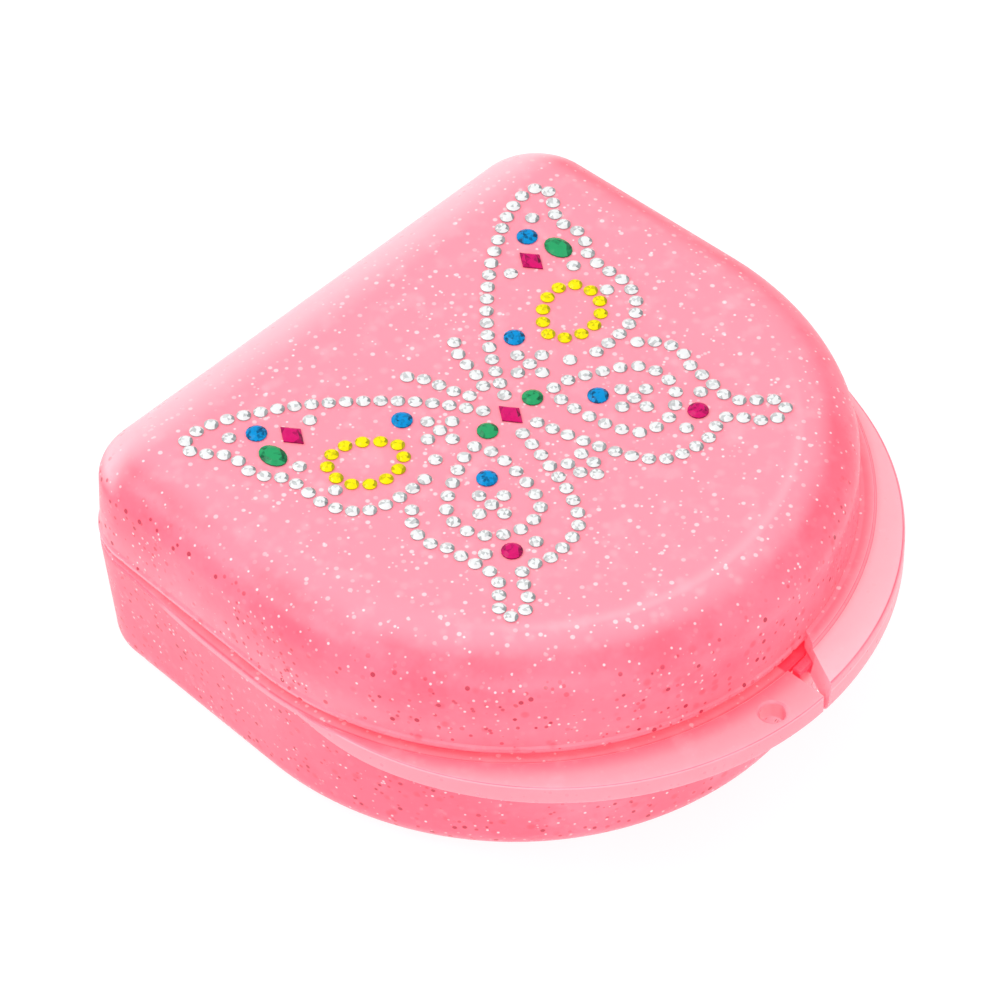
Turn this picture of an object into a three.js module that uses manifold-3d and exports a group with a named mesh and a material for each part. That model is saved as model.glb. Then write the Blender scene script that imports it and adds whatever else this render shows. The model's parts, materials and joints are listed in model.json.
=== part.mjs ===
// Mouthguard in its hinged plastic case, with a butterfly of glued stones on the lid.
// Millimetres, +Z up, the front of the case towards -Y, origin under the middle of the whole case.
import * as THREE from "three";
import { mergeVertices } from "three/addons/utils/BufferGeometryUtils.js";
import Module from "manifold-3d";

const wasm = await Module();
wasm.setup();

// Driving dimensions of the case, in plan
const frontRadius = 43.1; // the round front of the body
const frontCentreY = 4.15;
const sideSplay = THREE.MathUtils.degToRad(2.75); // the sides close in towards the back
const backY = 40.85;
const cornerRadius = 9.2;
const tabRadius = 43.8; // the thumb crescents' outer edge
const tabCentreY = -2.55;

// Heights
const seam = 21; // where the lid meets the base
const top = 34.9;
const partingGap = 0.3;

// Walls
const lidWall = 1.7;
const lidRoof = 1.8;
const lidBead = { out: 0.15, height: 0.7 };
const baseWall = { bottomInset: 1.5, topInset: 0.05, inner: 3.1, innerRound: 3 };
const lip = { top: seam + 1.2, inner: 3 }; // the base's inner lip, inside the lid
const groove = { inset: 0.9, floor: seam - 1.1 }; // the open line under the lid's edge
const ledge = { width: 1, height: 0.8, fadeTo: 14, fadeFrom: 34 }; // grows from the back corners forward
const floorTop = 2;
const shoulder = { inset: 9.8, height: 5.6, wallInset: 0.2 }; // the lid's elliptical edge
const bottomRound = 4.7;

// Hinge at the back
const hinge = { y: 43.95, z: seam, barrel: 2.4, peg: 1.2, hole: 1.5 };
const lugX = [18, 21];
const knuckleX = [21.3, 27.3];

// Thumb crescents, the cord hole and the latch tongue
const tabStartY = 5; // where they leave the body's sides
const tabRoot = 2; // how far they reach into the walls before the inside is cut clean
const baseTab = { top: seam - 0.5, thickness: 2.95, endX: 2.25, grooveRadius: 44.2 };
const lidTab = { top: seam + 0.7, depth: 4, plate: 1.2, rim: 1.3, outerEndX: 3.2, innerEndX: 7 };
const cordHole = { x: -4.1, y: -43.4, radius: 1.65 };
const tongue = { from: 2.9, to: 6.8, inner: 44.4, outer: 45.9, bottom: seam - 4, top: seam - 0.5 };

// Mouthguard: a U of two bonded layers, lying channel up
const guard = { halfWidth: 24, reach: 30, arm: 12, centreY: 5.3, bottom: 2.3 };

// Stones
const stonePlane = top + 0.05;
const clearStone = { radius: 0.92, height: 0.5 };
const colourStone = { radius: 1.35, height: 0.65 };
const squareStone = { radius: 1.5, height: 0.6 };
const ovalStone = { radius: 1.5, height: 0.65 };
const ovalLength = 1.35;
const squareLength = 1.37; // the square stones are a little longer than wide, corner to corner
const tableShare = 0.6;
const linkHalfWidth = 0.32; // the film that joins a strand's stones
const clusterReach = 3;

const finishes = {
  case_plastic: { color: "#ff8aa0", roughness: 0.3, metalness: 0 },
  guard_shell: { color: "#f4f6f8", roughness: 0.35, metalness: 0 },
  guard_liner: { color: "#f2709c", roughness: 0.5, metalness: 0 },
  clear_stone: { color: "#e9eef0", roughness: 0.08, metalness: 0.2 },
  blue_stone: { color: "#0a86c9", roughness: 0.08, metalness: 0.2 },
  green_stone: { color: "#1f9a5c", roughness: 0.08, metalness: 0.2 },
  magenta_stone: { color: "#c3146c", roughness: 0.08, metalness: 0.2 },
  yellow_stone: { color: "#e2d40a", roughness: 0.08, metalness: 0.2 },
};

const model = new THREE.Group();

function addPiece(name, geometry, finish) {
  const mesh = new THREE.Mesh(geometry, new THREE.MeshStandardMaterial(finishes[finish]));
  mesh.name = name;
  model.add(mesh);
  return mesh;
}

// Solids for joining and cutting

function toSolid(geometry) {
  const bare = geometry.clone();
  bare.deleteAttribute("normal");
  bare.deleteAttribute("uv");
  const merged = mergeVertices(bare, 1e-4);
  const mesh = new wasm.Mesh({
    numProp: 3,
    vertProperties: new Float32Array(merged.attributes.position.array),
    triVerts: new Uint32Array(merged.index.array),
  });
  return new wasm.Manifold(mesh);
}

function toGeometry(solid) {
  const mesh = solid.getMesh();
  const geometry = new THREE.BufferGeometry();
  geometry.setAttribute("position", new THREE.BufferAttribute(mesh.vertProperties, 3));
  geometry.setIndex(new THREE.BufferAttribute(mesh.triVerts, 1));
  return geometry;
}

// Triangles over a flat outline, turning the same way as the outline does
function endFaces(flat) {
  const triangles = THREE.ShapeUtils.triangulateShape(flat, []);
  return THREE.ShapeUtils.isClockWise(flat) ? triangles.map((face) => face.reverse()) : triangles;
}

// A skin over rings of points, closed at both ends. Each end is filled over its flat outline.
function loft(rings, firstFlat, lastFlat) {
  const count = rings[0].length;
  const points = rings.flat();
  const faces = [];
  for (let ring = 0; ring < rings.length - 1; ring++) {
    for (let i = 0; i < count; i++) {
      const a = ring * count + i;
      const b = ring * count + ((i + 1) % count);
      faces.push([a, b, b + count], [a, b + count, a + count]);
    }
  }
  const lastStart = (rings.length - 1) * count;
  for (const [a, b, c] of endFaces(firstFlat)) faces.push([c, b, a]);
  for (const face of endFaces(lastFlat)) faces.push(face.map((corner) => lastStart + corner));
  let volume = 0;
  for (const [a, b, c] of faces) volume += points[a].dot(points[b].clone().cross(points[c]));
  if (volume < 0) faces.forEach((face) => face.reverse());
  const geometry = new THREE.BufferGeometry().setFromPoints(points);
  geometry.setIndex(faces.flat());
  return geometry;
}

function extruded(shape, bottom, height, curveSegments = 24) {
  const options = { depth: height, bevelEnabled: false, curveSegments };
  return new THREE.ExtrudeGeometry(shape, options).translate(0, 0, bottom);
}

// Case body

// The D of the body's plan, moved in by an inset: round front, splayed sides, two back corners.
function bodyOutline(inset) {
  const radius = frontRadius - inset;
  const corner = Math.max(cornerRadius - inset, 1.5);
  const cornerY = backY - inset - corner;
  const normal = new THREE.Vector2(Math.cos(sideSplay), Math.sin(sideSplay));
  const sideReach = radius + normal.y * frontCentreY;
  const cornerX = (sideReach - corner - normal.y * cornerY) / normal.x;
  const outline = [];
  const frontSteps = 28;
  for (let i = 0; i <= frontSteps; i++) {
    const angle = sideSplay - (i / frontSteps) * (Math.PI + 2 * sideSplay);
    outline.push(new THREE.Vector2(radius * Math.cos(angle), frontCentreY + radius * Math.sin(angle)));
  }
  const cornerSteps = 6;
  const corners = [];
  for (const side of [-1, 1]) {
    for (let i = 0; i <= cornerSteps; i++) {
      const share = side < 0 ? i / cornerSteps : 1 - i / cornerSteps;
      const angle = sideSplay + share * (Math.PI / 2 - sideSplay);
      const x = side * (cornerX + corner * Math.cos(angle));
      corners.push(new THREE.Vector2(x, cornerY + corner * Math.sin(angle)));
    }
  }
  const leftSide = sidePoints(outline.at(-1), corners[0]);
  const rightSide = sidePoints(corners.at(-1), outline[0]);
  return [...outline, ...leftSide, ...corners, ...rightSide];
}

function sidePoints(start, end) {
  return [0.25, 0.5, 0.75].map((share) => start.clone().lerp(end, share));
}

// One ring round the body. Its inset goes from the first value at the back to the second at the front.
function bodyRing(inset, z, frontInset) {
  const front = bodyOutline(frontInset);
  return bodyOutline(inset).map((point, i) => {
    const share = 1 - THREE.MathUtils.smoothstep(point.y, ledge.fadeTo, ledge.fadeFrom);
    const at = point.clone().lerp(front[i], share);
    return new THREE.Vector3(at.x, at.y, z);
  });
}

// A dish from its profile: inset, height and, where it differs, the inset along the front.
// It runs from the outer middle to the inner middle.
function dish(profile) {
  const rings = profile.map(([inset, z, frontInset = inset]) => bodyRing(inset, z, frontInset));
  const flats = [profile[0], profile.at(-1)].map(([inset]) => bodyOutline(inset));
  return loft(rings, flats[0], flats[1]);
}

// A quarter ellipse of profile points, from the flat to the wall
function quarter(centreInset, centreZ, across, up, steps) {
  return Array.from({ length: steps + 1 }, (_, i) => {
    const angle = (Math.PI / 2) * (1 - i / steps);
    return [centreInset - across * Math.cos(angle), centreZ + up * Math.sin(angle)];
  });
}

function baseDish() {
  const { bottomInset, topInset, inner, innerRound } = baseWall;
  const underLedge = groove.floor - ledge.height;
  const lipOuter = lidWall + partingGap;
  const lipDraft = 0.1;
  const innerSteps = quarter(inner + innerRound, floorTop + innerRound, innerRound, -innerRound, 2);
  return dish([
    ...quarter(bottomInset + bottomRound, bottomRound, bottomRound, -bottomRound, 3),
    [topInset, underLedge - ledge.width * 0.7],
    [topInset, underLedge, -ledge.width],
    [topInset, groove.floor, -ledge.width],
    [groove.inset, groove.floor],
    [groove.inset, seam - partingGap],
    [lipOuter, seam - partingGap],
    [lipOuter + lipDraft, lip.top],
    [lip.inner, lip.top],
    ...innerSteps.reverse(),
  ]);
}

function lidDish() {
  const { inset, height, wallInset } = shoulder;
  const shoulderZ = top - height;
  const inner = quarter(wallInset + inset, shoulderZ, inset - lidWall, height - lidRoof, 3);
  return dish([
    ...quarter(wallInset + inset, shoulderZ, inset, height, 5),
    [wallInset / 2, seam + lidBead.height * 1.5],
    [-lidBead.out, seam + lidBead.height],
    [-lidBead.out, seam],
    [lidWall, seam],
    ...inner.reverse(),
  ]);
}

// Half crescent: from the body's side round the front to a cut end. side -1 is left, 1 is right.
function crescentShape(side, outerEndX, innerEndX, outerRadius = tabRadius) {
  const rootRadius = frontRadius - tabRoot;
  const startOuter = Math.PI - Math.asin((tabStartY - tabCentreY) / outerRadius);
  const startRoot = Math.PI - Math.asin((tabStartY - frontCentreY) / rootRadius);
  const endOuter = 1.5 * Math.PI - Math.asin((side * outerEndX) / outerRadius);
  const endRoot = 1.5 * Math.PI - Math.asin((side * innerEndX) / rootRadius);
  const shape = new THREE.Shape();
  shape.absarc(0, tabCentreY, outerRadius, startOuter, endOuter, false);
  shape.absarc(0, frontCentreY, rootRadius, endRoot, startRoot, true);
  if (side < 0) return shape;
  const points = shape.getPoints(24).map((point) => new THREE.Vector2(-point.x, point.y));
  return new THREE.Shape(points.reverse());
}

function bodyBlock(inset, bottom, height) {
  return toSolid(extruded(new THREE.Shape(bodyOutline(inset)), bottom, height));
}

function upright(radius, x, y, bottom, height, sides) {
  const geometry = new THREE.CylinderGeometry(radius, radius, height, sides).rotateX(Math.PI / 2);
  return toSolid(geometry.translate(x, y, bottom + height / 2));
}

function barrel(radius, fromX, toX, sides = 16) {
  const geometry = new THREE.CylinderGeometry(radius, radius, Math.abs(toX - fromX), sides);
  geometry.rotateZ(Math.PI / 2);
  return toSolid(geometry.translate((fromX + toX) / 2, hinge.y, hinge.z));
}

// A plate across X: points are [y, z] from the hinge axis, and the plate runs between two x values
function hingePlate(points, fromX, toX) {
  const shape = new THREE.Shape(points.map(([y, z]) => new THREE.Vector2(y, z)));
  const geometry = new THREE.ExtrudeGeometry(shape, { depth: Math.abs(toX - fromX), bevelEnabled: false });
  geometry.rotateY(Math.PI / 2).rotateX(Math.PI / 2);
  return toSolid(geometry.translate(Math.min(fromX, toX), hinge.y, hinge.z));
}

function baseShell() {
  const tabBottom = baseTab.top - baseTab.thickness;
  const shape = crescentShape(-1, baseTab.endX, baseTab.endX);
  const crescent = toSolid(extruded(shape, tabBottom, baseTab.thickness))
    .subtract(bodyBlock(groove.inset + 1, 0, top))
    .subtract(upright(baseTab.grooveRadius, 0, frontCentreY, groove.floor, 2, 120));
  let solid = toSolid(baseDish()).add(crescent);
  solid = solid.subtract(upright(cordHole.radius, cordHole.x, cordHole.y, tabBottom - 1, 5, 20));
  const web = [[-4.4, -8.5], [1.7, -1.7], [-1, -0.9], [-4.4, -0.9]];
  for (const side of [-1, 1]) {
    const [from, to] = lugX.map((x) => side * x);
    const lug = hingePlate(web, from, to).add(barrel(hinge.barrel, from, to));
    solid = solid.add(lug.subtract(barrel(hinge.hole, from - side, to + side)));
  }
  return toGeometry(solid);
}

function lidShell() {
  const { top: tabTop, depth, plate, rim, outerEndX, innerEndX } = lidTab;
  const cavity = bodyBlock(lidWall - 0.5, seam - 10, 20);
  const shape = crescentShape(1, outerEndX, innerEndX);
  const under = crescentShape(1, outerEndX + rim, innerEndX + rim, tabRadius - rim);
  const crescent = toSolid(extruded(shape, tabTop - depth, depth))
    .subtract(toSolid(extruded(under, tabTop - depth - 1, depth + 1 - plate)))
    .subtract(bodyBlock(-ledge.width - partingGap, seam - 10, 10))
    .subtract(cavity);
  let solid = toSolid(lidDish()).add(crescent).add(latchTongue());
  const arm = [[-4.2, 0.2], [0, 0.2], [0, 2.4], [-4.2, 2.4]];
  for (const side of [-1, 1]) {
    const [from, to] = knuckleX.map((x) => side * x);
    solid = solid.add(hingePlate(arm, from, to).add(barrel(hinge.barrel, from, to)));
    solid = solid.add(barrel(hinge.peg, side * lugX[0], from + side));
  }
  return toGeometry(solid);
}

// The tongue reaches from the end of the lid's crescent into the gap between the two crescents
function latchTongue() {
  const { from, to, inner, outer, bottom } = tongue;
  const turn = (x, radius) => 1.5 * Math.PI + Math.asin(x / radius);
  const shape = new THREE.Shape();
  shape.absarc(0, frontCentreY, outer, turn(from, outer), turn(to, outer), false);
  shape.absarc(0, frontCentreY, inner, turn(to, inner), turn(from, inner), true);
  return toSolid(extruded(shape, bottom, tongue.top - bottom, 3));
}

// Mouthguard

// The arch's middle line: place and outward direction at a share from the left end to the right
function archStation(share) {
  const { halfWidth, reach, arm, centreY } = guard;
  const bend = (Math.PI / 4) * (halfWidth + reach); // about a quarter of the ellipse
  const length = 2 * arm + 2 * bend;
  const along = share * length;
  if (along < arm) return { x: -halfWidth, y: centreY + arm - along, nx: -1, ny: 0 };
  if (along > length - arm) return { x: halfWidth, y: centreY + along - (length - arm), nx: 1, ny: 0 };
  const angle = (((along - arm) / (2 * bend)) * 2 - 1) * (Math.PI / 2);
  const normal = new THREE.Vector2(Math.sin(angle) / halfWidth, -Math.cos(angle) / reach).normalize();
  const [x, y] = [halfWidth * Math.sin(angle), centreY - reach * Math.cos(angle)];
  return { x, y, nx: normal.x, ny: normal.y };
}

// Sweeps a section along the arch. section(front) gives [out, up] pairs; front is 1 at the middle.
function archSweep(section, from = 0, to = 1) {
  const steps = 26;
  const rings = [];
  const flats = [];
  for (let i = 0; i <= steps; i++) {
    const share = from + ((to - from) * i) / steps;
    const station = archStation(share);
    const points = section(Math.sin(Math.PI * share));
    flats.push(points.map(([out, up]) => new THREE.Vector2(out, up)));
    rings.push(
      points.map(([out, up]) => {
        const x = station.x + station.nx * out;
        return new THREE.Vector3(x, station.y + station.ny * out, guard.bottom + up);
      }),
    );
  }
  return loft(rings, flats[0], flats.at(-1));
}

function guardShellSection(front) {
  const lipSide = 11.5 + 5 * front;
  const tongueSide = 8.5 + 3.5 * front;
  return [
    [-5.4, 0], [5.4, 0], [6.6, 1.4], [7, lipSide - 1], [6.4, lipSide], [5, lipSide],
    [4.6, 3.6], [3.8, 2.8], [-3.8, 2.8], [-4.6, 3.6], [-4.8, tongueSide], [-6.4, tongueSide],
    [-6.8, tongueSide - 1], [-6.6, 1.4],
  ];
}

function guardLinerSection(front) {
  const lipSide = 10.5 + 5 * front;
  const tongueSide = 7.5 + 3.5 * front;
  return [
    [-3.6, 3.1], [3.6, 3.1], [4.3, 3.8], [4.6, lipSide], [3.5, lipSide],
    [3.1, 4.9], [2.5, 4.4], [-2.5, 4.4], [-3.1, 4.9], [-3.3, tongueSide], [-4.4, tongueSide], [-4.3, 3.8],
  ];
}

// Stones of the butterfly: plan points are [x, y] of the right wing, mirrored for the left

// Evenly spaced places along a smooth curve, with the direction of the curve at each
function strandPlaces(points, count, closed = false) {
  const curve = new THREE.CatmullRomCurve3(
    points.map(([x, y]) => new THREE.Vector3(x, y, 0)),
    closed,
    "centripetal",
  );
  const last = closed ? count : count - 1;
  return Array.from({ length: 2 * count - 1 }, (_, i) => {
    const share = i / 2 / last;
    return { at: curve.getPointAt(share), along: curve.getTangentAt(share), stone: i % 2 === 0 };
  });
}

// A row of stones as one strip, wide at each stone and narrow at the film between two
function strand(points, count, side, closed = false) {
  const { radius, height } = clearStone;
  const places = strandPlaces(points, count, closed);
  const rings = [];
  const flats = [];
  places.forEach(({ at, along, stone }, i) => {
    const halfWidth = stone ? radius : linkHalfWidth;
    const isEnd = i === 0 || i === places.length - 1;
    const end = isEnd ? (i === 0 ? -radius : radius) : 0;
    const across = isEnd ? linkHalfWidth : halfWidth;
    if (isEnd && i > 0) addRing(at, along, halfWidth, 0);
    addRing(at, along, across, end);
    if (isEnd && i === 0) addRing(at, along, halfWidth, 0);
  });
  function addRing(at, along, halfWidth, shift) {
    const table = halfWidth * tableShare;
    const section = [[-halfWidth, 0], [halfWidth, 0], [table, height], [-table, height]];
    flats.push(section.map(([out, up]) => new THREE.Vector2(out, up)));
    rings.push(
      section.map(([out, up]) => {
        const x = at.x + along.x * shift - along.y * out;
        return new THREE.Vector3(side * x, at.y + along.y * shift + along.x * out, stonePlane + up);
      }),
    );
  }
  return loft(rings, flats[0], flats.at(-1));
}

// Five stones set as a plus, joined at the middle one
function cluster([x, y], side) {
  const half = clearStone.radius * 0.76;
  const corners = [];
  for (let quarterTurn = 0; quarterTurn < 4; quarterTurn++) {
    const turn = (quarterTurn * Math.PI) / 2;
    for (const [along, across] of [[clusterReach, -half], [clusterReach, half], [half, half]]) {
      corners.push(new THREE.Vector2(along, across).rotateAround(new THREE.Vector2(), turn));
    }
  }
  return extruded(new THREE.Shape(corners), stonePlane, clearStone.height).translate(side * x, y, 0);
}

// One cut stone: a low frustum with a flat table. length stretches it front to back.
function stone([x, y], side, { radius, height }, sides = 8, length = 1) {
  const geometry = new THREE.CylinderGeometry(radius * tableShare, radius, height, sides);
  geometry.rotateX(Math.PI / 2).rotateZ(sides === 4 ? Math.PI / 2 : Math.PI / 8).scale(1, length, 1);
  return geometry.translate(side * x, y, stonePlane + height / 2);
}

const foreWing = [
  [1.9, 7.7], [5.4, 13.3], [9.7, 18.3], [16.2, 24.1], [21.7, 27.7], [26, 29.9], [29.3, 30.7],
  [31.9, 30], [31.6, 28], [29.8, 25.9], [28.9, 24], [29.3, 21.6], [28.6, 19.3], [27, 17],
  [26.8, 13.4], [26.8, 10.8], [26, 8.4], [24.2, 6.2], [21.2, 5], [18.2, 4.7], [15.3, 4.7],
];
const hindWing = [
  [1.3, 1.5], [2.4, -2.7], [4.3, -8.7], [6.2, -12.5], [8.4, -14.6], [11.3, -15.3], [13.6, -15.6],
  [15.6, -15], [17.9, -14.5], [19.4, -16], [20.5, -17.8], [22.1, -19.2], [24.2, -19.1], [24.9, -17.6],
  [23.6, -15.9], [21.7, -14.2], [20.9, -12.2], [21.2, -9.7], [21.5, -7.4], [21.7, -5.3], [22.6, -3.3],
  [22.6, -1.3], [21.7, 0.6], [20.1, 2.2],
];
const hindRing = [
  [7.05, 4.2], [6.2, 1.9], [6.4, -1.5], [7.1, -5], [9, -8.9], [13.3, -9.6], [17.1, -7.1],
  [18.1, -4], [17.2, -0.9], [13.4, 1.8],
];
const foreLeaf = [[13.4, 11.2], [15.2, 8.6], [19.6, 8.4], [22.6, 11.6], [21.6, 15.4], [17.6, 15.6]];
const antenna = [[4.2, 18.6], [3.1, 16.9], [2.5, 14.9], [2, 12.7], [1.2, 10.7]];
const bodyTail = [[-1.2, -6.1], [-1.2, -8.2], [0, -9.9], [1.2, -8.2], [1.2, -6.1]];

function addWing(side) {
  const hand = side < 0 ? "left" : "right";
  const clear = "clear_stone";
  addPiece(`forewing_outline_${hand}`, strand(foreWing, 36, side), clear);
  addPiece(`hindwing_outline_${hand}`, strand(hindWing, 29, side), clear);
  addPiece(`hindwing_ring_${hand}`, strand(hindRing, 18, side, true), clear);
  addPiece(`forewing_leaf_${hand}`, strand(foreLeaf, 12, side, true), "yellow_stone");
  addPiece(`antenna_${hand}`, strand(antenna, 5, side), clear);
  addPiece(`forewing_cluster_${hand}`, cluster([8, 9.2], side), clear);
  addPiece(`hindwing_cluster_${hand}`, cluster([12.7, -4.2], side), clear);
  const singles = {
    forewing_tip: [27, 27], forewing_front: [17.9, 22], forewing_side: [24.4, 17.3],
    forewing_edge: [24.2, 11.3], forewing_root: [12, 6.1], hindwing_side: [19.2, -9.4],
    hindwing_end: [13.4, -12.4],
  };
  for (const [place, point] of Object.entries(singles)) {
    addPiece(`clear_${place}_${hand}`, stone(point, side, clearStone), clear);
  }
  addPiece(`blue_tip_${hand}`, stone([24.1, 25.1], side, colourStone), "blue_stone");
  addPiece(`blue_middle_${hand}`, stone([10, 13.8], side, colourStone), "blue_stone");
  addPiece(`blue_hindwing_${hand}`, stone([9.9, -0.7], side, colourStone), "blue_stone");
  addPiece(`green_body_${hand}`, stone([4, 4.9], side, colourStone), "green_stone");
  const oval = stone([25.4, 20.9], side, ovalStone, 8, ovalLength);
  addPiece(`green_oval_${hand}`, oval, "green_stone");
  const square = stone([21.3, 21.7], side, squareStone, 4, squareLength);
  addPiece(`magenta_square_${hand}`, square, "magenta_stone");
  addPiece(`magenta_hindwing_${hand}`, stone([16.6, -11.4], side, colourStone), "magenta_stone");
}

addPiece("base_shell", baseShell(), "case_plastic");
addPiece("lid_shell", lidShell(), "case_plastic");
addPiece("mouthguard_shell", archSweep(guardShellSection), "guard_shell");
addPiece("mouthguard_liner", archSweep(guardLinerSection, 0.02, 0.98), "guard_liner");
addWing(-1);
addWing(1);
addPiece("body_tail", strand(bodyTail, 5, 1), "clear_stone");
addPiece("magenta_body", stone([0, 4.8], 1, squareStone, 4, squareLength), "magenta_stone");

export default model;
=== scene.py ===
import json
import math
import random

import bmesh
import bpy
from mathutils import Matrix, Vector


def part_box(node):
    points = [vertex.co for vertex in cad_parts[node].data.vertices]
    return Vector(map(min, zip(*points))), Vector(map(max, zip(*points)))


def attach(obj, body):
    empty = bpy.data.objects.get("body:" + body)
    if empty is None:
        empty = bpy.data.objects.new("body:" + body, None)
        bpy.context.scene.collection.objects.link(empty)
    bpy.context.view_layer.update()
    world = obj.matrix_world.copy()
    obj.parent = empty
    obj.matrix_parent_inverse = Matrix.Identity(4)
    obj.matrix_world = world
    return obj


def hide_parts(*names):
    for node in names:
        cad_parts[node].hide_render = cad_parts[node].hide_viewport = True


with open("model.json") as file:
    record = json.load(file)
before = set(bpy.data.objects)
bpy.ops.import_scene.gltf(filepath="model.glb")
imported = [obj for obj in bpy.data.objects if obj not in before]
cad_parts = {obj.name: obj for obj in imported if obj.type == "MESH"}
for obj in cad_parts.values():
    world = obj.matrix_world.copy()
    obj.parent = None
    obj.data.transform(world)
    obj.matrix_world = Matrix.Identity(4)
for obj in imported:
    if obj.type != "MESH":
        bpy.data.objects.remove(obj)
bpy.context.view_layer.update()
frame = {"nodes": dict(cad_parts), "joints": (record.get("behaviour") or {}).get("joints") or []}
mm = 0.001

# the seam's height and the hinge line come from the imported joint
# the lid's top comes from the stones on it
hingeJoint = next(joint for joint in frame["joints"] if joint["name"] == "lid_hinge")
hingeY, seam = hingeJoint["pos_m"][1] / mm, hingeJoint["pos_m"][2] / mm
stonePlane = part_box("magenta_body")[0][2] / mm
lidTop = stonePlane - 0.05
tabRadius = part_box("lid_shell")[1][0] / mm - 0.02  # just inside the plain solid

case = {
    "frontRadius": 43.1,
    "frontCentreY": 4.15,
    "splay": math.radians(2.75),
    "backY": 40.85,
    "cornerRadius": 9.2,
    "tabCentreY": -2.55,
    "fadeTo": 14.0,  # the rim ledge grows from the back corners to here
    "fadeFrom": 34.0,
    "frontSteps": 150,
    "cornerSteps": 22,
    "sideSteps": 10,
}


class Wire:
    # a socket that can stand in a sum

    def __init__(self, shade, socket):
        self.shade = shade
        self.socket = socket

    def maths(self, operation, first, second=0.0):
        return self.shade.node("ShaderNodeMath", {"operation": operation}, {0: first, 1: second})

    def __add__(self, other):
        return self.maths("ADD", self, other)

    def __sub__(self, other):
        return self.maths("SUBTRACT", self, other)

    def __rsub__(self, other):
        return self.maths("SUBTRACT", other, self)

    def __mul__(self, other):
        return self.maths("MULTIPLY", self, other)

    def __truediv__(self, other):
        return self.maths("DIVIDE", self, other)

    def __pow__(self, other):
        return self.maths("POWER", self, other)

    __radd__ = __add__
    __rmul__ = __mul__

    def step(self, low, high):
        # 0 below low, 1 above high, smooth between
        settings = {"interpolation_type": "SMOOTHSTEP"}
        return self.shade.node("ShaderNodeMapRange", settings, {0: self, 1: low, 2: high})

    def bell(self, middle, width):
        # 1 at the middle, falling to 0 at width on both sides
        return self.maths("ABSOLUTE", self - middle).step(width, 0.0)


class Shade:
    # one material and its node tree

    def __init__(self, name):
        self.material = bpy.data.materials.new(name)
        self.material.use_nodes = True
        self.tree = self.material.node_tree
        self.tree.nodes.clear()

    def node(self, kind, settings=None, sockets=None, output=0):
        # output is the number of the socket that is handed on
        made = self.tree.nodes.new(kind)
        for key, value in (settings or {}).items():
            setattr(made, key, value)
        for key, value in (sockets or {}).items():
            if isinstance(value, Wire):
                self.tree.links.new(value.socket, made.inputs[key])
            else:
                made.inputs[key].default_value = value
        return Wire(self, made.outputs[output]) if made.outputs else None

    def place(self):
        return self.node("ShaderNodeTexCoord", output=3)

    def facing(self):
        return self.node("ShaderNodeTexCoord", output=1)

    def axis(self, vector, index):
        return self.node("ShaderNodeSeparateXYZ", None, {0: vector}, output=index)

    def blend(self, share, first, second, mode="MIX"):
        settings = {"data_type": "RGBA", "blend_type": mode}
        return self.node("ShaderNodeMix", settings, {0: share, 6: first, 7: second}, output=2)

    def noise(self, vector, scale, detail=3.0, roughness=0.5):
        sockets = {"Vector": vector, "Scale": scale, "Detail": detail, "Roughness": roughness}
        return self.node("ShaderNodeTexNoise", {"noise_dimensions": "3D"}, sockets)

    def cells(self, vector, scale, output):
        settings = {"voronoi_dimensions": "3D", "feature": "F1"}
        sockets = {"Vector": vector, "Scale": scale}
        return self.node("ShaderNodeTexVoronoi", settings, sockets, output)

    def bump(self, height, strength, distance):
        sockets = {"Height": height, "Strength": strength, "Distance": distance}
        return self.node("ShaderNodeBump", None, sockets)

    def finish(self, sockets):
        surface = self.node("ShaderNodeBsdfPrincipled", None, sockets)
        self.node("ShaderNodeOutputMaterial", None, {"Surface": surface})
        return self.material


def tint(code):
    # a web colour as linear values with full alpha
    parts = [int(code[i : i + 2], 16) / 255 for i in (1, 3, 5)]
    return [(p / 12.92 if p <= 0.04045 else ((p + 0.055) / 1.055) ** 2.4) for p in parts] + [1.0]


plastic = {
    "pale": "#ffc3ce",
    "paleFlake": "#fff1f4",
    "darkFlake": "#a81d3c",
    "deep": "#ff5c78",
    "edge": "#ffa5b2",
    "pocketShade": "#ff4766",
    # painted light: the glow is an emission that lifts the plastic's red everywhere, standing in
    # for light scattered inside it
    "glow": "#ff2a4c",
    "glowStrength": 0.18,
    "roughness": 0.3,
    "scatter": 0.3,
    "scatterRadius": (0.006, 0.002, 0.0024),
    "scatterScale": 0.5,
    "coat": 0.2,
    "coatRoughness": 0.2,
    "refraction": 1.49,
    "bumpStrength": 0.05,
    "bumpDepth": 0.0006,
}
lidTints = {
    "top": "#ff9cae",
    "wall": "#ff6981",
    "cloudy": "#ff8096",
    "inner": "#ff889b",
    "plate": "#ffcbd4",
    "innerTo": 46.2,
    "deepSides": 0.3,
}
baseTints = {
    "top": "#ffa0af",
    "wall": "#ff6c84",
    "cloudy": "#ff8a9f",
    "inner": "#ff788c",
    "plate": "#ffabb7",
    "innerTo": 47.5,
    "deepSides": 0.8,
}

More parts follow.
